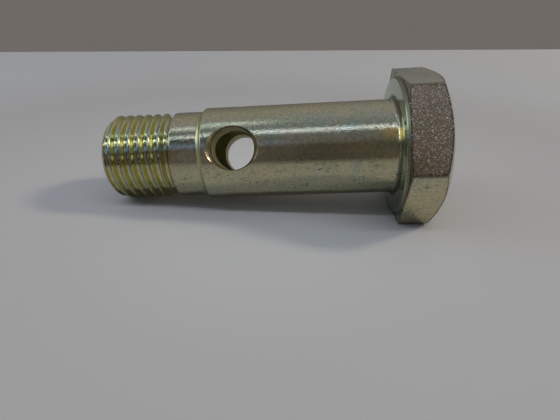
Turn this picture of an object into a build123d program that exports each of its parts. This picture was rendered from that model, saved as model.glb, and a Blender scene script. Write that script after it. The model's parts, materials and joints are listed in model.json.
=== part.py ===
"""Banjo bolt: a hollow hexagon-head bolt that clamps a ring fitting and carries fluid through it.

The bolt is one turned piece. A blind bore runs up from the threaded end and meets a hole drilled
across the shank, so that fluid can pass from the fitting's ring into the thread's port.

The bolt lies as it comes to rest on a level surface: on the lower edge of one flat of its head
and on the rim of its threaded end. +X runs towards the head, +Z is up, and the origin is on the
surface, under the middle of the bolt's bounding box.
"""

import os
from math import atan2, cos, pi, radians, sin, sqrt, tan

from build123d import *

os.makedirs("parts", exist_ok=True)

# ---- Driving dimensions, in millimetres and degrees ---------------------------------------

# Head: heights are counted from the bearing face, the face that clamps the sealing washer
across_flats = 22.0
corner_rounding = 0.3
head_height = 6.5
crown_diameter = 20.6
crown_chamfer_angle = 28.0
washer_face_diameter = 21.1
washer_root_diameter = 21.6
washer_height = 0.5

# Shank: distances are counted from the bearing face towards the threaded end
shank_diameter = 14.85
root_fillet = 0.7
shank_length = 29.7
collar_diameter = 13.8
collar_end = 34.7

# Threaded end: M14 x 1.5, drawn as the plain cylinder of the thread's outside diameter, between
# the tip's chamfer and the groove that the last turn of the thread runs out into
thread_diameter = 13.7
thread_end = 36.2
run_out_diameter = 12.2
run_out_width = 0.4
under_head_length = 45.8
tip_diameter = 11.64

# Bore along the axis, open at the threaded end
bore_diameter = 8.0
bore_depth = 25.3
bore_mouth_chamfer = 0.5
drill_point_angle = 118.0

# Port drilled across the shank, with a countersunk mouth on each side
port_diameter = 6.5
port_distance = 24.9
port_mouth_diameter = 8.25
port_mouth_angle = 75.0
port_turn_from_flat = 4.2

# ---- Values that follow from them ---------------------------------------------------------

flat_radius = across_flats / 2
corner_radius = across_flats / sqrt(3)
shank_radius = shank_diameter / 2
collar_radius = collar_diameter / 2
thread_radius = thread_diameter / 2
tip_radius = tip_diameter / 2
tip_chamfer = thread_radius - tip_radius
run_out_radius = run_out_diameter / 2
run_out_middle = (collar_end + thread_end) / 2
bore_radius = bore_diameter / 2
crown_radius = crown_diameter / 2
crown_reach = corner_radius + 1.0
crown_drop = (crown_reach - crown_radius) * tan(radians(crown_chamfer_angle))
drill_point = bore_radius / tan(radians(drill_point_angle / 2))

# The bolt rests on its head and on the start of its tip chamfer, which sets the axis's slope
rest_span = washer_height + under_head_length - tip_chamfer
rest_tilt = atan2(flat_radius - thread_radius, rest_span)
bearing_centre_z = flat_radius * cos(rest_tilt) - washer_height * sin(rest_tilt)
tip_reach = under_head_length * cos(rest_tilt) + tip_radius * sin(rest_tilt)
crown_end = head_height * cos(rest_tilt) + crown_radius * sin(rest_tilt)
bearing_centre_x = (tip_reach - crown_end) / 2

# Planes of work, all through the centre of the bearing face. "across" faces the head's top and
# its X points down the resting side; "lengthwise" cuts the bolt in half, with its X that same
# radius and its Y along the axis towards the head.
towards_head = Vector(cos(rest_tilt), 0, sin(rest_tilt))
resting_side = Vector(sin(rest_tilt), 0, -cos(rest_tilt))
bearing_centre = Vector(bearing_centre_x, 0, bearing_centre_z)
across = Plane(origin=bearing_centre, x_dir=resting_side, z_dir=towards_head)
lengthwise = Plane(origin=bearing_centre, x_dir=resting_side, z_dir=resting_side.cross(towards_head))
bolt_axis = Axis(bearing_centre, towards_head)

# The port's direction: a head flat's normal, a third of a turn from the resting one, then turned
# a few degrees more, because the bolt is chucked by its shank when the port is drilled
port_angle = -2 * pi / 3 + radians(port_turn_from_flat)
port_direction = across.x_dir * cos(port_angle) + across.y_dir * sin(port_angle)
port_centre = bearing_centre - towards_head * port_distance

# ---- The bolt -----------------------------------------------------------------------------

with BuildPart() as banjo_bolt:
    # Hexagon of the head, one flat down, standing on the plane behind the washer face
    with BuildSketch(across.offset(washer_height)) as hexagon:
        RegularPolygon(radius=flat_radius, side_count=6, major_radius=False, rotation=30)
        fillet(hexagon.vertices(), corner_rounding)
    extrude(amount=head_height - washer_height)

    # Crown chamfer: what the turned cone over the head leaves of the hexagon
    with BuildSketch(lengthwise) as crown:
        with BuildLine():
            Polyline(
                (0, head_height),
                (crown_radius, head_height),
                (crown_reach, head_height - crown_drop),
                (crown_reach, 0),
                (0, 0),
                close=True,
            )
        make_face()
    revolve(axis=bolt_axis, mode=Mode.INTERSECT)

    # Tip, threaded length, run-out groove, collar, shank and washer face, turned in one profile
    with BuildSketch(lengthwise) as turned_profile:
        with BuildLine():
            tip = Polyline(
                (0, -under_head_length),
                (tip_radius, -under_head_length),
                (thread_radius, -under_head_length + tip_chamfer),
                (thread_radius, -thread_end),
                (run_out_radius, -run_out_middle - run_out_width / 2),
                (run_out_radius, -run_out_middle + run_out_width / 2),
                (collar_radius, -collar_end),
                (collar_radius, -shank_length - (shank_radius - collar_radius)),
                (shank_radius, -shank_length),
                (shank_radius, -root_fillet),
            )
            root = RadiusArc(tip @ 1, (shank_radius + root_fillet, 0), root_fillet)
            Polyline(
                root @ 1,
                (washer_face_diameter / 2, 0),
                (washer_root_diameter / 2, washer_height),
                (0, washer_height),
                (0, -under_head_length),
            )
        make_face()
    revolve(axis=bolt_axis)

    # Blind bore with a drilled point inside and a chamfered mouth at the tip
    with BuildSketch(lengthwise) as drilled_profile:
        with BuildLine():
            bore_end = -under_head_length + bore_depth
            Polyline(
                (0, -under_head_length),
                (bore_radius + bore_mouth_chamfer, -under_head_length),
                (bore_radius, -under_head_length + bore_mouth_chamfer),
                (bore_radius, bore_end),
                (0, bore_end + drill_point),
                close=True,
            )
        make_face()
    revolve(axis=bolt_axis, mode=Mode.SUBTRACT)

    # Port across the shank: one countersunk drilling from each side, meeting in the bore
    for outwards in (port_direction, -port_direction):
        mouth = Plane(port_centre + outwards * shank_radius, x_dir=towards_head, z_dir=outwards)
        with Locations(mouth):
            CounterSinkHole(
                radius=port_diameter / 2,
                counter_sink_radius=port_mouth_diameter / 2,
                depth=shank_radius,
                counter_sink_angle=port_mouth_angle,
            )

banjo_bolt.part.label = "banjo_bolt"
export_step(banjo_bolt.part, "parts/banjo_bolt.step")
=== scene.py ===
"""Banjo bolt: a hollow, yellow-passivated bolt with a cross port, lying on its head and its tip."""

import json
from math import atan2, cos, hypot, pi, radians, sin, tan

import bmesh
import bpy
from mathutils import Euler, Matrix, Vector


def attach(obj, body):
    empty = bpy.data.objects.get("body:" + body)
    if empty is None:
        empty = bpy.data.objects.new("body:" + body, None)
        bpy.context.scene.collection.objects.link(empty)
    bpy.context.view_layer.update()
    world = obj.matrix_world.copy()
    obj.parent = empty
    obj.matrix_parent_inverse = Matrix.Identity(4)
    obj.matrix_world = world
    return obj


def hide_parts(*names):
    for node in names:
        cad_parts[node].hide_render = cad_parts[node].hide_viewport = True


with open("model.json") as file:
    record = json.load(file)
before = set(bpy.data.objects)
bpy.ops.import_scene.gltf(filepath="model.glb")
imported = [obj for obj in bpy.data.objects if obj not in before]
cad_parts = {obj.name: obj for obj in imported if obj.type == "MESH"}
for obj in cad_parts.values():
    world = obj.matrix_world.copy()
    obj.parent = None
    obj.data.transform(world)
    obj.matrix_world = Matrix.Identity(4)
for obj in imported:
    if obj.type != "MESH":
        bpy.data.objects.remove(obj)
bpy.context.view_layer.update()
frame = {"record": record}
bpy.ops.object.select_all(action="DESELECT")

# ---- Studio -----------------------------------------------------------------------------------
# The bolt lies askew on a pale grey bench top, whose far edge shows. The room is dim, and darkest
# on the camera's side. Two cool tubes hang along the bench, with windows at its left and a warm
# lamp at its right.

# The bench top is painted with a pool of light and shade, palest round the bolt:
# (distance in metres, colour)
bench_light_pool = (
    (0.0, (0.42, 0.42, 0.415)),
    (0.02, (0.40, 0.40, 0.395)),
    (0.035, (0.36, 0.355, 0.35)),
    (0.06, (0.33, 0.325, 0.32)),
    (0.085, (0.31, 0.305, 0.30)),
    (0.14, (0.34, 0.34, 0.34)),
    (0.20, (0.34, 0.34, 0.34)),
)
bench_size = (3.0, 1.6)
bench_far_edge = 0.205
room_turn = radians(18)


def node(tree, kind, inputs=None, **settings):
    """Adds a node with its settings, and its inputs set to values or linked from sockets."""
    made = tree.nodes.new("ShaderNode" + kind)
    for name, value in settings.items():
        setattr(made, name, value)
    for name, value in (inputs or {}).items():
        if isinstance(value, bpy.types.NodeSocket):
            tree.links.new(value, made.inputs[name])
        else:
            made.inputs[name].default_value = value
    return made


def calculate(tree, operation, first, second=0.0, third=0.0):
    """One step of arithmetic on values."""
    return node(tree, "Math", {0: first, 1: second, 2: third}, operation=operation).outputs[0]


def spread(tree, value, low, high, to_low=0, to_high=1):
    """Spreads a value's range from low to high over another range."""
    ends = {"Value": value, "From Min": low, "From Max": high, "To Min": to_low, "To Max": to_high}
    return node(tree, "MapRange", ends).outputs["Result"]


def blend(tree, amount, first, second):
    """Mixes two colours by an amount from 0 to 1."""
    return node(tree, "Mix", {0: amount, 6: first, 7: second}, data_type="RGBA").outputs[2]


def shades(tree, value, colours):
    """Turns a value into a colour, through rows of (value, colour) of which the first is at 0."""
    ramp = node(tree, "ValToRGB", {"Fac": value})
    stops = ramp.color_ramp.elements
    stops.remove(stops[1])
    stops[0].color = (*colours[0][1], 1)
    for where, colour in colours[1:]:
        stops.new(where).color = (*colour, 1)
    return ramp.outputs["Color"]


bpy.ops.mesh.primitive_plane_add(size=1)
bench = bpy.context.object
bench.name = "bench_top"
bpy.ops.object.mode_set(mode="EDIT")
bpy.ops.transform.resize(value=(*bench_size, 1))
bpy.ops.transform.translate(value=(0, -bench_size[1] / 2, 0))
bpy.ops.object.mode_set(mode="OBJECT")
bench.rotation_euler.z = room_turn
bench.location.y = bench_far_edge
bpy.ops.object.transform_apply(location=True, rotation=True, scale=True)

bench_paint = bpy.data.materials.new("bench_paint")
bench_paint.use_nodes = True
tree = bench_paint.node_tree
shader = tree.nodes["Principled BSDF"]
shader.inputs["Roughness"].default_value = 0.7
place = node(tree, "TexCoord").outputs["Object"]
far = node(tree, "VectorMath", {0: place}, operation="LENGTH").outputs["Value"]
tree.links.new(shades(tree, far, bench_light_pool), shader.inputs["Base Color"])
bench.data.materials.append(bench_paint)

# The room, as (height round the bench in degrees, colour, colour at its left end): 0 is level on
# the camera's side, 90 is overhead and 180 is level behind the bench. The ceiling is pale and
# cool. Its left end comes in between these steps leftwards, of which 1 is straight left.
left_end_begins, left_end_full = 0.36, 0.52
room_colours = (
    (-180, (0.16, 0.145, 0.135), (0.16, 0.145, 0.135)),
    (-20, (0.12, 0.11, 0.10), (0.10, 0.09, 0.08)),
    (12, (0.11, 0.10, 0.095), (0.07, 0.06, 0.055)),
    (31, (0.10, 0.095, 0.095), (0.10, 0.09, 0.09)),
    (38, (0.17, 0.17, 0.18), (0.09, 0.10, 0.12)),
    (51, (0.20, 0.20, 0.24), (0.09, 0.10, 0.13)),
    (65, (0.23, 0.25, 0.31), (0.08, 0.11, 0.13)),
    (84, (0.27, 0.32, 0.41), (0.08, 0.11, 0.13)),
    (108, (0.38, 0.41, 0.49), (0.26, 0.29, 0.34)),
    (120, (0.40, 0.40, 0.44), (0.37, 0.38, 0.42)),
    (136, (0.38, 0.38, 0.38), (0.38, 0.38, 0.37)),
    (150, (0.29, 0.29, 0.28), (0.29, 0.29, 0.28)),
    (165, (0.21, 0.205, 0.20), (0.21, 0.205, 0.20)),
    (180, (0.16, 0.145, 0.135), (0.16, 0.145, 0.135)),
)
room = bpy.data.worlds.new("room")
room.use_nodes = True
bpy.context.scene.world = room
tree = room.node_tree
direction = node(tree, "TexCoord").outputs["Generated"]
turned = node(
    tree, "VectorRotate", {"Vector": direction, "Angle": -room_turn}, rotation_type="Z_AXIS"
)
parts = node(tree, "SeparateXYZ", {"Vector": turned.outputs["Vector"]}).outputs
towards_camera = calculate(tree, "MULTIPLY", parts["Y"], -1)
height = calculate(tree, "ARCTAN2", parts["Z"], towards_camera)
level = spread(tree, height, -pi, pi)
leftwards = spread(tree, parts["X"], -left_end_begins, -left_end_full)
middle, left_end = (
    shades(tree, level, [((row[0] + 180) / 360, row[column]) for row in room_colours])
    for column in (1, 2)
)
tree.links.new(blend(tree, leftwards, middle, left_end), tree.nodes["Background"].inputs["Color"])


def hang_lamp(name, place, turn, size, power, colour, shows_in_metal, lights_bench):
    """A flat soft lamp, which shows in the metal, lights the bench, or does both."""
    bpy.ops.object.light_add(type="AREA", location=place, rotation=turn)
    lamp = bpy.context.object
    lamp.name = name
    lamp.data.shape = "RECTANGLE"
    lamp.data.size, lamp.data.size_y = size
    lamp.data.energy = power
    lamp.data.color = colour
    lamp.visible_glossy = shows_in_metal
    lamp.visible_diffuse = lights_bench


# The tubes hang along the bench. Each is a dim strip, and a twin that lights the bench but doesn't
# show in the metal, which would glare.
tube_distance = 1.2
front_tube_turn = radians(6)
for name, rise, across, turn, size, power, colour, shows_in_metal in (
    ("front_tube", 68, 0.0, front_tube_turn, (2.0, 0.07), 1.5, (0.65, 0.74, 1.0), True),
    ("front_tube_light", 68, 0.0, front_tube_turn, (2.0, 0.07), 5.6, (0.93, 0.95, 0.97), False),
    ("back_tube", 99, -0.69, room_turn, (1.0, 0.12), 0.50, (0.66, 0.82, 1.0), True),
    ("back_tube_light", 98, -0.69, room_turn, (1.0, 0.12), 0.2, (0.90, 0.95, 1.0), False),
):
    rise = radians(rise)
    place = Vector((across, -cos(rise) * tube_distance, sin(rise) * tube_distance))
    place.rotate(Euler((0, 0, room_turn)))
    hang_lamp(name, place, (pi / 2 - rise, 0, turn), size, power, colour, shows_in_metal, True)

# The windows, the warm lamp and two fills face the bolt. The warm lamp has a twin as well.
for name, place, size, power, colour, shows_in_metal, lights_bench in (
    ("window", (-0.75, -0.15, 0.55), (0.7, 0.5), 2.0, (0.76, 0.86, 1.0), True, True),
    ("warm_lamp", (0.68, -0.13, 0.72), (0.28, 0.24), 1.7, (1.0, 0.91, 0.74), True, False),
    ("warm_lamp_light", (0.75, 0.12, 0.67), (0.14, 0.14), 4.4, (1.0, 0.86, 0.63), False, True),
    ("low_fill", (0.1, -0.9, 0.3), (1.6, 0.6), 0.2, (1.0, 0.89, 0.65), False, True),
    ("far_fill", (0.3, 0.85, 0.16), (0.9, 0.2), 1.6, (1.0, 0.92, 0.75), False, True),
    ("low_window", (-0.614, -0.715, 0.20), (0.28, 0.16), 0.16, (0.63, 0.72, 1.0), True, True),
    ("side_window", (-0.42, -0.72, 0.53), (0.66, 0.30), 0.29, (0.32, 0.50, 1.0), True, True),
):
    turn = (-Vector(place)).to_track_quat("-Z", "Y").to_euler()
    hang_lamp(name, place, turn, size, power, colour, shows_in_metal, lights_bench)

# A dark card stands before the bolt, and shows only in the metal: it glows faintly, a painted
# reflection of the dark side where the camera stands. It is palest left of its middle:
# (share of its width, colour).
card_reflection_greys = (
    (0.0, (0.07, 0.06, 0.055)),
    (0.12, (0.08, 0.07, 0.065)),
    (0.29, (0.19, 0.17, 0.175)),
    (0.54, (0.12, 0.11, 0.11)),
    (0.68, (0.095, 0.087, 0.08)),
    (0.86, (0.13, 0.117, 0.105)),
)
card_left, card_right = -0.062, 0.042
card_low, card_high = 0.0005, 0.052
card_middle = ((card_left + card_right) / 2, -0.063, (card_low + card_high) / 2)
bpy.ops.mesh.primitive_plane_add(size=1, rotation=(pi / 2, 0, 0), location=card_middle)
card = bpy.context.object
card.name = "dark_card"
card.scale = (card_right - card_left, card_high - card_low, 1)
bpy.ops.object.transform_apply(location=True, rotation=True, scale=True)
card_paint = bpy.data.materials.new("card_paint")
card_paint.use_nodes = True
tree = card_paint.node_tree
shader = tree.nodes["Principled BSDF"]
shader.inputs["Base Color"].default_value = (0, 0, 0, 1)
shader.inputs["Specular IOR Level"].default_value = 0
shader.inputs["Emission Strength"].default_value = 1
parts = node(tree, "SeparateXYZ", {"Vector": node(tree, "TexCoord").outputs["Object"]}).outputs
across = spread(tree, parts["X"], card_left, card_right)
tree.links.new(shades(tree, across, card_reflection_greys), shader.inputs["Emission Color"])
card.data.materials.append(card_paint)
card.visible_camera = card.visible_diffuse = card.visible_shadow = False

bpy.context.scene.view_settings.view_transform = "Standard"

# ---- Camera -----------------------------------------------------------------------------------
# It looks down on the bolt from close by, a little to the threaded end's side of the head.

bpy.ops.object.camera_add(location=(0.003943, -0.063244, 0.032528))
camera = bpy.context.object
camera.rotation_euler = (radians(61.4082), radians(-1.6209), radians(3.0277))
camera.data.lens = 25.855
camera.data.sensor_width = 36
camera.data.clip_start = 0.005
bpy.context.scene.camera = camera

# ---- Turned blank -----------------------------------------------------------------------------
# All but the hexagon is turned from steel bar in one profile and bored from the tip. It is drawn
# upright, in millimetres, on the centre of the bearing face: head up, local X to the resting side.

to_metres, to_millimetres = 0.001, 1000
mounts = {mount["name"]: mount for mount in frame["record"]["mounts"]}
towards_head = -Vector(mounts["shank"]["axis"])
shank_middle = Vector(mounts["shank"]["pos_m"])
bearing_centre = shank_middle + towards_head * towards_head.dot(
    Vector(mounts["bearing_face"]["pos_m"]) - shank_middle
)
resting_side = Vector((towards_head.z, 0, -towards_head.x))
upright_axes = Matrix((resting_side, (0, 1, 0), towards_head))
lying_turn = upright_axes.transposed().to_euler()

washer_face_radius = 10.55
washer_root_radius = 10.8
washer_height = 0.5
rim_width = 0.1
rim_top = 0.2
root_fillet = 0.7
shank_radius = mounts["shank"]["dims"]["r_mm"]
shank_length = root_fillet + mounts["shank"]["dims"]["length_mm"]
collar_radius = 6.9
collar_end = 34.7
thread_radius = mounts["thread"]["dims"]["r_mm"]
thread_end = 36.2
run_out_radius = 6.1
run_out_half = 0.2
run_out_middle = (collar_end + thread_end) / 2
tip_chamfer = 1.03
tip_end = thread_end + mounts["thread"]["dims"]["length_mm"] + tip_chamfer
tip_radius = thread_radius - tip_chamfer
bore_radius = mounts["feed_bore"]["dims"]["r_mm"]
bore_mouth = 0.5
bore_end = tip_end - bore_mouth - mounts["feed_bore"]["dims"]["length_mm"]
drill_point = bore_radius / tan(radians(59))
outside = bore_radius + bore_mouth  # the turned outer faces are all further out than this
overlap = 1  # how far solids that are joined or cut run past each other

facets_around = 192
ring_gap = 0.5
most_cuts = 100
tool_nose = 0.05
shoulder_rounding = 0.35
rounding_steps = 4
weld_gap = 1e-5


def select(piece, test, kind="verts"):
    """In edit mode, selects the vertices or edges whose middle passes the test."""
    bpy.ops.mesh.select_mode(type={"verts": "VERT", "edges": "EDGE"}[kind])
    bpy.ops.mesh.select_all(action="DESELECT")
    shape = bmesh.from_edit_mesh(piece.data)
    for part in getattr(shape, kind):
        corners = [part] if kind == "verts" else part.verts
        middle = sum((corner.co for corner in corners), Vector()) / len(corners)
        part.select_set(test(middle))
    shape.select_flush_mode()
    bmesh.update_edit_mesh(piece.data)


def draw_profile(name, corners):
    """An open chain of edges in the XZ plane, whose corners are (radius, height, rounding)."""
    bpy.ops.object.select_all(action="DESELECT")
    bpy.ops.mesh.primitive_plane_add(size=1)
    profile = bpy.context.object
    profile.name = name
    bpy.ops.object.mode_set(mode="EDIT")
    bpy.ops.mesh.select_mode(type="VERT")
    bpy.ops.mesh.select_all(action="SELECT")
    bpy.ops.mesh.merge(type="CENTER")
    bpy.ops.transform.translate(value=(corners[0][0], 0, corners[0][1]))
    for here, there in zip(corners, corners[1:]):
        move = (there[0] - here[0], 0, there[1] - here[1])
        bpy.ops.mesh.extrude_region_move(TRANSFORM_OT_translate={"value": move})
    for radius, height, rounding in corners:
        if rounding:
            corner = Vector((radius, 0, height))
            select(profile, lambda middle: (middle - corner).length < weld_gap)
            bpy.ops.mesh.bevel(
                offset=rounding, segments=rounding_steps, affect="VERTICES", clamp_overlap=False
            )
    return profile


def add_rings(profile, gap, low, high):
    """Divides the profile's outside edges between two heights, so that spinning gives rings."""
    shape = bmesh.from_edit_mesh(profile.data)
    stretches = []
    for edge in shape.edges:
        ends = [end.co for end in edge.verts]
        between = all(
            low - weld_gap < end.z < high + weld_gap and end.x > outside for end in ends
        )
        cuts = round(edge.calc_length() / gap) - 1
        if between and cuts > 0:
            stretches.append(((ends[0] + ends[1]) / 2, min(most_cuts, cuts)))
    for centre, cuts in stretches:
        select(profile, lambda middle: (middle - centre).length < weld_gap, "edges")
        bpy.ops.mesh.subdivide(number_cuts=cuts)


def spin_profile(profile, facets):
    """Spins the drawn profile into a closed round solid."""
    bpy.ops.mesh.select_all(action="SELECT")
    bpy.ops.mesh.spin(steps=facets, angle=2 * pi, center=(0, 0, 0), axis=(0, 0, 1))
    bpy.ops.mesh.select_all(action="SELECT")
    bpy.ops.mesh.remove_doubles(threshold=weld_gap)
    bpy.ops.mesh.normals_make_consistent(inside=False)
    bpy.ops.object.mode_set(mode="OBJECT")


bolt = draw_profile("banjo_bolt_turned", [
    (0, washer_height + overlap, 0),
    (washer_root_radius, washer_height + overlap, 0),
    (washer_root_radius, washer_height, 0),
    (washer_face_radius + rim_width, rim_top, 0),
    (washer_face_radius, 0, tool_nose * 2),
    (shank_radius, 0, root_fillet),
    (shank_radius, -shank_length, tool_nose),
    (collar_radius, -shank_length - (shank_radius - collar_radius), shoulder_rounding),
    (collar_radius, -collar_end, tool_nose),
    (run_out_radius, -run_out_middle + run_out_half, tool_nose),
    (run_out_radius, -run_out_middle - run_out_half, tool_nose),
    (thread_radius, -thread_end, 0),
    (thread_radius, -tip_end + tip_chamfer, 0),
    (tip_radius, -tip_end, tool_nose),
    (bore_radius + bore_mouth, -tip_end, tool_nose),
    (bore_radius, -tip_end + bore_mouth, tool_nose),
    (bore_radius, -bore_end, 0),
    (0, -bore_end + drill_point, 0),
])

# Its finish is bright zinc under a thin yellow passivate film, whose thickness changes its colour
# in soft clouds: straw, olive, khaki and a little teal. Fine turning marks and pits show in it.


def new_group(name, inputs, outputs):
    """A shader node group with these sockets, given as name: (kind, value); returns its nodes."""
    tree = bpy.data.node_groups.new(name, "ShaderNodeTree")
    for socket, (kind, value) in inputs.items():
        made = tree.interface.new_socket(socket, in_out="INPUT", socket_type="NodeSocket" + kind)
        made.default_value = value
    for socket, kind in outputs.items():
        tree.interface.new_socket(socket, in_out="OUTPUT", socket_type="NodeSocket" + kind)
    return tree, tree.nodes.new("NodeGroupInput").outputs, tree.nodes.new("NodeGroupOutput").inputs


def upright_place(tree):
    """The place on the bolt in millimetres, upright on the centre of its bearing face."""
    setting = {
        "Vector": node(tree, "TexCoord").outputs["Object"],
        "Location": bearing_centre,
        "Rotation": lying_turn,
        "Scale": (to_metres,) * 3,
    }
    return node(tree, "Mapping", setting, vector_type="TEXTURE").outputs["Vector"]


def noise(tree, place, scale, detail=2, **inputs):
    """Soft noise from 0 to 1, with `scale` features to the millimetre."""
    settings = {"Vector": place, "Scale": scale, "Detail": detail, **inputs}
    return node(tree, "TexNoise", settings).outputs["Fac"]


def tinted(tree, first, second):
    """Multiplies one colour by another, or by a grey."""
    mix = {0: 1.0, 6: first, 7: second}
    return node(tree, "Mix", mix, data_type="RGBA", blend_type="MULTIPLY").outputs[2]


def from_axis(tree, parts):
    """How far a place, given as its parts, is from the bolt's axis."""
    across = node(tree, "CombineXYZ", {"X": parts["X"], "Y": parts["Y"]}).outputs["Vector"]
    return node(tree, "VectorMath", {0: across}, operation="LENGTH").outputs["Value"]


# Clouds of thinner and thicker film over a ground colour
straw, olive, teal = (1.07, 1.0, 0.95, 1), (0.94, 1.0, 0.90, 1), (0.90, 1.01, 1.06, 1)
film_clouds, given, result = new_group(
    "film_clouds",
    {"Ground": ("Color", (0.46, 0.45, 0.30, 1)), "Amount": ("Float", 1.0)},
    {"Color": "Color"},
)
place = upright_place(film_clouds)
thinner = spread(film_clouds, noise(film_clouds, place, 0.35, 4), 0.35, 0.65)
thinnest = spread(film_clouds, noise(film_clouds, place, 0.28, 4, Distortion=0.6), 0.52, 0.72)
mottle = noise(film_clouds, place, 2.2, 5, Roughness=0.75)
mottle = spread(film_clouds, mottle, 0.25, 0.75, 0.7, 1.3)
tint = blend(film_clouds, thinnest, blend(film_clouds, thinner, straw, olive), teal)
patchy = tinted(film_clouds, tinted(film_clouds, given["Ground"], tint), mottle)
film_clouds.links.new(
    blend(film_clouds, given["Amount"], given["Ground"], patchy), result["Color"]
)

# Sparkling grain of the zinc, as a height; a part of the surface can be left smooth between grains
zinc_grain, given, result = new_group(
    "zinc_grain",
    {"Grains per mm": ("Float", 4.0), "Depth": ("Float", 1.0), "Smooth share": ("Float", 0.0)},
    {"Height": "Float"},
)
place = upright_place(zinc_grain)
grains = noise(zinc_grain, place, given["Grains per mm"], 1)
raised = spread(zinc_grain, grains, given["Smooth share"], 1)
zinc_grain.links.new(calculate(zinc_grain, "MULTIPLY", raised, given["Depth"]), result["Height"])

# Turning marks run round the bolt, so their height changes only along it and across its faces
turning_marks, given, result = new_group(
    "turning_marks", {"Depth": ("Float", 1.0)}, {"Height": "Float"}
)
parts = node(turning_marks, "SeparateXYZ", {"Vector": upright_place(turning_marks)}).outputs
feed = calculate(turning_marks, "ADD", parts["Z"], from_axis(turning_marks, parts))
settings = {"W": feed, "Scale": 5.0, "Detail": 3.0}
marks = node(turning_marks, "TexNoise", settings, noise_dimensions="1D")
turning_marks.links.new(
    calculate(turning_marks, "MULTIPLY", marks.outputs["Fac"], given["Depth"]), result["Height"]
)

# Small dark pits, drawn out along the bolt and gathered in patches, most of them low on it
dark_pits, given, result = new_group("dark_pits", {"Amount": ("Float", 1.0)}, {"Mask": "Float"})
place = upright_place(dark_pits)
stretch = {"Vector": place, "Scale": (4.5, 4.5, 2.0)}
drawn_out = node(dark_pits, "Mapping", stretch).outputs["Vector"]
pit = spread(dark_pits, noise(dark_pits, drawn_out, 1), 0.40, 0.33)
patch = spread(dark_pits, noise(dark_pits, place, 0.31, 3), 0.43, 0.57)
parts = node(dark_pits, "SeparateXYZ", {"Vector": place}).outputs
both = calculate(dark_pits, "MULTIPLY", pit, patch)
both = calculate(dark_pits, "MULTIPLY", both, spread(dark_pits, parts["X"], -4, 2, 0.3, 1))
dark_pits.links.new(calculate(dark_pits, "MULTIPLY", both, given["Amount"]), result["Mask"])

# A painted amber reflection in one short patch, high on the shank's front and round its root:
# there the shank mirrors the washer face, and the fillet and washer catch a glint
amber_patch, given, result = new_group("amber_patch", {"Amount": ("Float", 1.0)}, {"Mask": "Float"})
place = upright_place(amber_patch)
parts = node(amber_patch, "SeparateXYZ", {"Vector": place}).outputs
near_head = spread(amber_patch, parts["Z"], -4.2, -1.2)
below_top = spread(amber_patch, parts["X"], -5.1, -4.6)
above_middle = spread(amber_patch, parts["X"], -2.9, -3.5)
in_front = spread(amber_patch, parts["Y"], -3.5, -4.5)
by_root = spread(amber_patch, from_axis(amber_patch, parts), 9.3, 8.8)
uneven = spread(amber_patch, noise(amber_patch, place, 0.8, 3), 0.3, 0.6)
both = calculate(amber_patch, "MULTIPLY", below_top, above_middle)
for mask in (near_head, in_front, by_root, uneven, given["Amount"]):
    both = calculate(amber_patch, "MULTIPLY", both, mask)
amber_patch.links.new(both, result["Mask"])

# Painted shade: dark lines along the edges of the hexagon's flats and in the crease at the washer.
# They come in over these stretches: of turn from a flat's middle to its corner, of distance below
# the crown, and of height.
shade_by_corner = (0.485, 0.51)
shade_by_crown = (0.28, 0.12)
shade_by_washer = (0.72, 0.6)
flat_radius = 11.0
head_height = 6.5
crown_radius = 10.3
crown_angle = radians(28)
crown_run = 3  # the crown's slope is followed this far out, past the corners

edge_lines, given, result = new_group("edge_lines", {"Amount": ("Float", 1.0)}, {"Mask": "Float"})
place = upright_place(edge_lines)
parts = node(edge_lines, "SeparateXYZ", {"Vector": place}).outputs
turn = calculate(edge_lines, "ARCTAN2", parts["Y"], parts["X"])
from_flat = calculate(edge_lines, "WRAP", turn, -pi / 6, pi / 6)
beside_corner = spread(edge_lines, calculate(edge_lines, "ABSOLUTE", from_flat), *shade_by_corner)
reach = calculate(edge_lines, "DIVIDE", flat_radius, calculate(edge_lines, "COSINE", from_flat))
crown_height = spread(
    edge_lines,
    reach,
    crown_radius,
    crown_radius + crown_run,
    head_height,
    head_height - crown_run * tan(crown_angle),
)
below_crown = calculate(edge_lines, "SUBTRACT", crown_height, parts["Z"])
beside_crown = spread(edge_lines, below_crown, *shade_by_crown)
beside_washer = spread(edge_lines, parts["Z"], *shade_by_washer)
either = calculate(edge_lines, "MAXIMUM", beside_crown, beside_washer)
either = calculate(edge_lines, "MAXIMUM", either, beside_corner)
uneven = spread(edge_lines, noise(edge_lines, place, 1.5, 3), 0.3, 0.6, 0.35, 1)
both = calculate(edge_lines, "MULTIPLY", either, uneven)
edge_lines.links.new(calculate(edge_lines, "MULTIPLY", both, given["Amount"]), result["Mask"])


def placed(tree, group, **inputs):
    """A group placed in a material, with its inputs, which are named with _ for a space."""
    inputs = {name.replace("_", " "): value for name, value in inputs.items()}
    return node(tree, "Group", inputs, node_tree=group).outputs[0]


pit_colour = (0.06, 0.05, 0.04, 1)
painted_glint_colour = (0.95, 0.85, 0.72, 1)
painted_glint_from = 0.15  # of the full height of a grain
relief_step = 0.00001


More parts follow.
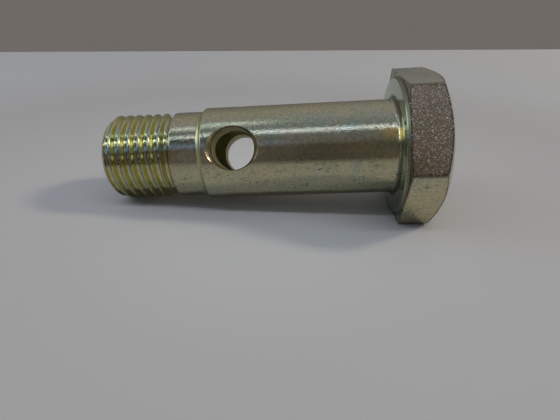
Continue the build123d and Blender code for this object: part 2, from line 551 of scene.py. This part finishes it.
def plated_metal(
    name,
    colour,
    clouds,
    roughness,
    grains,
    grain_depth,
    mark_depth,
    pits,
    metallic=1,
    painted_light=None,
    smooth=None,
):
    """A zinc-plated metal. Its colour is fixed or made by a function of the tree; its painted light
    (group, colour) lays the colour of painted shade and of painted reflections where the group's
    mask is; and depths are in steps of relief. Where a function gives the smooth share of its
    ground, the grains that stand out of that ground are brightened with painted glints."""
    material = bpy.data.materials.new(name)
    material.use_nodes = True
    tree = material.node_tree
    shader = tree.nodes["Principled BSDF"]
    shader.inputs["Metallic"].default_value = metallic
    cloudy = node(tree, "Group", {"Amount": clouds}, node_tree=film_clouds)
    if callable(colour):
        tree.links.new(colour(tree), cloudy.inputs["Ground"])
    else:
        cloudy.inputs["Ground"].default_value = (*colour, 1)
    film = cloudy.outputs["Color"]
    # Painted shade and painted reflections, laid over the film by a mask
    if painted_light:
        film = blend(tree, placed(tree, painted_light[0]), film, (*painted_light[1], 1))
    share = smooth(tree) if smooth else 0
    grain = placed(tree, zinc_grain, Grains_per_mm=grains, Depth=grain_depth, Smooth_share=share)
    # Painted glints: the grains that stand out are brightened in colour
    if smooth:
        film = blend(tree, spread(tree, grain, 0, grain_depth * painted_glint_from), film, painted_glint_colour)
    film = blend(tree, placed(tree, dark_pits, Amount=pits), film, pit_colour)
    tree.links.new(film, shader.inputs["Base Color"])
    height = calculate(tree, "ADD", grain, placed(tree, turning_marks, Depth=mark_depth))
    bump = node(tree, "Bump", {"Height": height, "Distance": relief_step, "Strength": 1.0})
    tree.links.new(bump.outputs["Normal"], shader.inputs["Normal"])
    uneven = placed(tree, zinc_grain, Grains_per_mm=1.5, Depth=1.0)
    tree.links.new(spread(tree, uneven, 0.3, 0.7, *roughness), shader.inputs["Roughness"])
    return material


def paint(piece, material, test):
    """Gives a material to the faces whose middle and normal pass the test."""
    if material.name not in piece.data.materials:
        piece.data.materials.append(material)
    place = piece.data.materials.find(material.name)
    for face in piece.data.polygons:
        if test(face.center, face.normal):
            face.material_index = place


# The shank carries the painted amber reflection near the head
turned_zinc = plated_metal(
    "turned_zinc",
    (0.47, 0.445, 0.31),
    clouds=1.0,
    roughness=(0.05, 0.12),
    grains=6.5,
    grain_depth=1.5,
    mark_depth=0.3,
    pits=1.0,
    painted_light=(amber_patch, (0.78, 0.58, 0.20)),
)
bolt.data.materials.append(turned_zinc)
shoulder_zinc = plated_metal(
    "shoulder_zinc",
    (0.50, 0.455, 0.25),
    clouds=0.5,
    roughness=(0.28, 0.40),
    grains=4.0,
    grain_depth=2.0,
    mark_depth=1.0,
    pits=0.6,
)

# ---- Thread -----------------------------------------------------------------------------------
# A right-hand thread, rolled into the turned end with rounded crests and roots. The points of its
# close rings move in to the groove wherever that is deeper than the blank, so that it runs out at
# both ends.

thread_pitch = 1.57
crest_half = 0.08
groove_depth = 0.76
flank_slope = tan(radians(60))
thread_rounding = 0.06
thread_ring_gap = thread_pitch / 30
first_crest_turn = radians(-110)

# The threaded stretch is halved first, because one subdivide doesn't make enough cuts for it
add_rings(bolt, (tip_end - thread_end) / 2, -tip_end, -run_out_middle)
add_rings(bolt, thread_ring_gap, -tip_end, -run_out_middle)
add_rings(bolt, ring_gap, -collar_end, -root_fillet)
spin_profile(bolt, facets_around)


def rounded_ramp(x):
    """0 before 0 and x after it, with a rounded bend between."""
    if abs(x) > thread_rounding:
        return max(x, 0)
    return (x + thread_rounding) ** 2 / (4 * thread_rounding)


def on_threaded_end(place):
    """Whether a place is on the outside of the threaded end."""
    return place.z < -run_out_middle and hypot(place.x, place.y) > outside


def past_crest(place):
    """How far along the bolt a place is from the nearest crest, and less than 0 tipwards of it."""
    turned = (atan2(place.y, place.x) - first_crest_turn) / (2 * pi)
    turns = (place.z + thread_end) / thread_pitch - turned
    return (turns - round(turns)) * thread_pitch


for vertex in bolt.data.vertices:
    if on_threaded_end(vertex.co):
        radius = hypot(vertex.co.x, vertex.co.y)
        groove_start = abs(past_crest(vertex.co)) - crest_half
        groove_floor = groove_start - groove_depth / flank_slope
        depth = flank_slope * (rounded_ramp(groove_start) - rounded_ramp(groove_floor))
        groove_radius = thread_radius - depth
        if groove_radius < radius:
            vertex.co.x *= groove_radius / radius
            vertex.co.y *= groove_radius / radius

# The film is golden on the flanks and teal in the root. Below the flanks that face the head, the
# gold goes on into the root, so far that it covers this many flanks.
golden_reach = 1.5
crest_colour = (0.33, 0.31, 0.23, 1)
root_colour = (0.34, 0.39, 0.31, 1)
flank_colour = (0.61, 0.57, 0.28, 1)


def thread_colour(tree):
    """The film's colour by the depth and the flanks that are kept with the finished mesh."""
    depth = node(tree, "Attribute", attribute_name="groove_depth").outputs["Fac"]
    flank = node(tree, "Attribute", attribute_name="on_flank").outputs["Fac"]
    return blend(tree, flank, blend(tree, depth, crest_colour, root_colour), flank_colour)


rolled_zinc = plated_metal(
    "rolled_zinc",
    thread_colour,
    clouds=0.6,
    roughness=(0.07, 0.15),
    grains=4.0,
    grain_depth=0.6,
    mark_depth=0,
    pits=0.2,
)
bored_zinc = plated_metal(
    "bored_zinc",
    (0.40, 0.37, 0.17),
    clouds=0.6,
    roughness=(0.45, 0.6),
    grains=3.0,
    grain_depth=1.5,
    mark_depth=1.0,
    pits=0.4,
    metallic=0.6,
)

shoulder_height = 0.7
hair = 0.02
slightly, squarely = 0.1, 0.9  # how much of a face's normal lies along an axis that it faces
paint(bolt, shoulder_zinc, lambda middle, normal: (
    -shank_length - shoulder_height < middle.z < -shank_length
    and hypot(middle.x, middle.y) < shank_radius - hair
    and normal.z < -slightly
))
paint(bolt, rolled_zinc, lambda middle, normal: (
    middle.z < -run_out_middle and normal.z > -squarely
))
paint(bolt, bored_zinc, lambda middle, normal: (
    hypot(middle.x, middle.y) < bore_radius and middle.z < 0
))

# ---- Head -------------------------------------------------------------------------------------
# A hexagon forged on the end of the same steel, which lies with one flat down. Its corners are
# turned off at a shallow angle round its top, and its flats are left as forged and then plated.

corner_radius = flat_radius / cos(radians(30))
corner_rounding = 0.3
head_middle = (head_height + washer_height) / 2
crown_reach = corner_radius + overlap


def join_solids(piece, other, operation):
    """Adds, cuts or keeps what `piece` shares with `other`, which is used up."""
    step = piece.modifiers.new(operation, "BOOLEAN")
    step.operation = operation
    step.object = other
    step.solver = "EXACT"
    step.material_mode = "TRANSFER"
    bpy.context.view_layer.objects.active = piece
    bpy.ops.object.modifier_apply(modifier=step.name)
    bpy.data.objects.remove(other)


bpy.ops.object.select_all(action="DESELECT")
bpy.ops.mesh.primitive_cylinder_add(
    vertices=6,
    radius=corner_radius,
    depth=head_height - washer_height,
    location=(0, 0, head_middle),
)
head = bpy.context.object
head.name = "banjo_bolt_head"
bpy.ops.object.transform_apply(location=True, rotation=True, scale=True)
bpy.ops.object.mode_set(mode="EDIT")
select(head, lambda middle: abs(middle.z - head_middle) < weld_gap, "edges")
bpy.ops.mesh.bevel(
    offset=corner_rounding * tan(radians(30)), segments=rounding_steps, affect="EDGES"
)
bpy.ops.object.mode_set(mode="OBJECT")

crown = draw_profile("crown", [
    (0, head_height, 0),
    (crown_radius, head_height, tool_nose * 2),
    (crown_reach, head_height - (crown_reach - crown_radius) * tan(crown_angle), 0),
    (crown_reach, -overlap, 0),
    (0, -overlap, 0),
])
spin_profile(crown, facets_around)


def fewer_grains_below(tree):
    """The brown flat's smooth share, growing downwards, so fewer painted glints show lower down."""
    parts = node(tree, "SeparateXYZ", {"Vector": upright_place(tree)}).outputs
    return spread(tree, parts["X"], -8, -1, 0.57, 0.62)


# The flats took the passivate differently: one is brown, the top one grey and the others olive.
# All have painted shade along their edges; the brown one has painted glints on its grains.
brown_forged_zinc = plated_metal(
    "brown_forged_zinc",
    (0.47, 0.385, 0.285),
    clouds=1.5,
    roughness=(0.16, 0.26),
    grains=5.3,
    grain_depth=65.0,
    mark_depth=0,
    pits=0.6,
    painted_light=(edge_lines, (0.10, 0.08, 0.06)),
    smooth=fewer_grains_below,
)
forged_zinc = plated_metal(
    "forged_zinc",
    (0.52, 0.48, 0.33),
    clouds=1.2,
    roughness=(0.18, 0.32),
    grains=4.0,
    grain_depth=4.0,
    mark_depth=0,
    pits=1.0,
    painted_light=(edge_lines, (0.16, 0.14, 0.09)),
)
grey_forged_zinc = plated_metal(
    "grey_forged_zinc",
    (0.54, 0.53, 0.44),
    clouds=1.2,
    roughness=(0.18, 0.32),
    grains=4.0,
    grain_depth=3.0,
    mark_depth=0,
    pits=0.6,
    painted_light=(edge_lines, (0.16, 0.14, 0.09)),
)
# The hexagon's corners and the washer's slope up to the hexagon, darkened with painted shade; the
# turned crown; the washer with its rim, with the painted amber glint; and the fillet under the
# head, darkened with painted shade and with the painted amber glint
edge_zinc = plated_metal(
    "edge_zinc",
    (0.22, 0.20, 0.15),
    clouds=0.8,
    roughness=(0.3, 0.5),
    grains=3.4,
    grain_depth=3.0,
    mark_depth=0,
    pits=1.0,
)
crown_zinc = plated_metal(
    "crown_zinc",
    (0.46, 0.44, 0.28),
    clouds=0.4,
    roughness=(0.12, 0.2),
    grains=6.5,
    grain_depth=1.5,
    mark_depth=2.0,
    pits=0.6,
)
washer_zinc = plated_metal(
    "washer_zinc",
    (0.44, 0.53, 0.43),
    clouds=1.0,
    roughness=(0.10, 0.2),
    grains=3.0,
    grain_depth=1.5,
    mark_depth=0.5,
    pits=0.6,
    painted_light=(amber_patch, (0.95, 0.85, 0.45)),
)
rim_zinc = plated_metal(
    "rim_zinc",
    (0.27, 0.30, 0.22),
    clouds=1.0,
    roughness=(0.14, 0.26),
    grains=3.0,
    grain_depth=2.5,
    mark_depth=0.5,
    pits=0.8,
)
# The fillet is darkened with painted shade and carries the painted amber glint
fillet_zinc = plated_metal(
    "fillet_zinc",
    (0.20, 0.20, 0.16),
    clouds=1.2,
    roughness=(0.20, 0.32),
    grains=3.0,
    grain_depth=2.5,
    mark_depth=0.5,
    pits=1.0,
    painted_light=(amber_patch, (0.95, 0.80, 0.40)),
)
fillet_radius = shank_radius + root_fillet
fillet_low = -0.8 * root_fillet
rim_low_radius = washer_face_radius - rim_width
past_washer = washer_root_radius + overlap
above_washer = washer_height + 2 * overlap
# The washer's slope up to the hexagon and the fillet are darkened with painted shade
for material, least_radius, most_radius, low, high in (
    (washer_zinc, shank_radius + tool_nose, past_washer, -overlap, rim_top),
    (fillet_zinc, 0, fillet_radius, fillet_low, above_washer),
    (rim_zinc, rim_low_radius, past_washer, -overlap, rim_top),
    (edge_zinc, rim_low_radius, past_washer, rim_top, above_washer),
):
    paint(bolt, material, lambda middle, normal: (
        least_radius < hypot(middle.x, middle.y) < most_radius and low < middle.z < high
    ))
head.data.materials.append(forged_zinc)
paint(head, brown_forged_zinc, lambda middle, normal: (
    normal.x < -slightly and normal.y < -slightly
))
paint(head, grey_forged_zinc, lambda middle, normal: normal.x < -squarely)
# Painted shade: the hexagon's rounded corners are dark
paint(head, edge_zinc, lambda middle, normal: (
    hypot(middle.x, middle.y) > (flat_radius + corner_radius) / 2
))
paint(head, crown_zinc, lambda middle, normal: normal.z > squarely)
crown.data.materials.append(crown_zinc)
join_solids(head, crown, "INTERSECT")
join_solids(bolt, head, "UNION")

# ---- Port -------------------------------------------------------------------------------------
# One hole drilled across the shank, through the bore and out again, and countersunk on both
# sides. The plating is dull in the hole and bright on the countersinks.

port = mounts["cross_port"]
port_radius = port["dims"]["r_mm"]
port_distance = (bearing_centre - Vector(port["pos_m"])).length * to_millimetres
port_mouth_radius = 4.125
port_mouth_half_angle = radians(37.5)
mouth_depth = (port_mouth_radius - port_radius) / tan(port_mouth_half_angle)
port_facets = 96

# The countersink is a little rounded: it has a steeper band inside and a flatter one at its rim
mouth_turn = radians(14)
steep_slope = tan(port_mouth_half_angle - mouth_turn)
flat_slope = tan(port_mouth_half_angle + mouth_turn)
steep_width, flat_width = 0.19, 0.36
lip = (port_radius + steep_width, shank_radius - mouth_depth + steep_width / steep_slope)
lip_end = (port_mouth_radius - flat_width, shank_radius - flat_width / flat_slope)
reach = shank_radius + 2 * overlap
reach_radius = port_mouth_radius + 2 * overlap * flat_slope

drill = draw_profile("drill", [
    (0, -reach, 0),
    (reach_radius, -reach, 0),
    (lip_end[0], -lip_end[1], 0),
    (lip[0], -lip[1], 0),
    (port_radius, -shank_radius + mouth_depth, tool_nose),
    (port_radius, shank_radius - mouth_depth, tool_nose),
    (*lip, 0),
    (*lip_end, 0),
    (reach_radius, reach, 0),
    (0, reach, 0),
])
spin_profile(drill, port_facets)
countersunk_zinc = plated_metal(
    "countersunk_zinc",
    (0.48, 0.40, 0.27),
    clouds=0.8,
    roughness=(0.16, 0.28),
    grains=2.0,
    grain_depth=4.0,
    mark_depth=0.6,
    pits=0.4,
    metallic=0.9,
)
drill.rotation_euler = (upright_axes @ Vector(port["axis"])).to_track_quat("Z", "Y").to_euler()
drill.location.z = -port_distance
drill.data.materials.append(bored_zinc)
paint(drill, countersunk_zinc, lambda middle, normal: (
    hypot(middle.x, middle.y) > port_radius + tool_nose
))
join_solids(bolt, drill, "DIFFERENCE")

# ---- Finished bolt ----------------------------------------------------------------------------
# The thread's film follows the groove, so how deep and on what part of it each point lies is
# kept with the mesh. The bolt is then laid on the bench, on an edge of its lowest flat and the rim
# of its tip.

smooth_below = radians(28)
groove = bolt.data.attributes.new("groove_depth", "FLOAT", "POINT").data
flank = bolt.data.attributes.new("on_flank", "FLOAT", "POINT").data
for point in bolt.data.vertices:
    if on_threaded_end(point.co):
        radius = hypot(point.co.x, point.co.y)
        from_crest = past_crest(point.co)
        flanks_down = (abs(from_crest) - crest_half) / (groove_depth / flank_slope)
        golden_end = golden_reach if from_crest > 0 else 1
        chamfer_radius = tip_radius + point.co.z + tip_end
        cut = radius < min(thread_radius, chamfer_radius) - hair
        depth = min(1, max(0, (thread_radius - radius) / groove_depth))
        groove[point.index].value = depth if cut else 0
        lead_in = -thread_end < point.co.z < -run_out_middle - run_out_half
        golden = lead_in or cut and 0 < flanks_down < golden_end
        flank[point.index].value = 1 if golden else 0

bpy.ops.object.select_all(action="DESELECT")
bolt.select_set(True)
bpy.context.view_layer.objects.active = bolt
bpy.ops.object.shade_smooth_by_angle(angle=smooth_below)
bolt.name = "banjo_bolt_plated"
bolt.location = bearing_centre
bolt.rotation_euler = lying_turn
bolt.scale = (to_metres,) * 3
bpy.ops.object.transform_apply(location=True, rotation=True, scale=True)
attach(bolt, "root")
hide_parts("banjo_bolt")
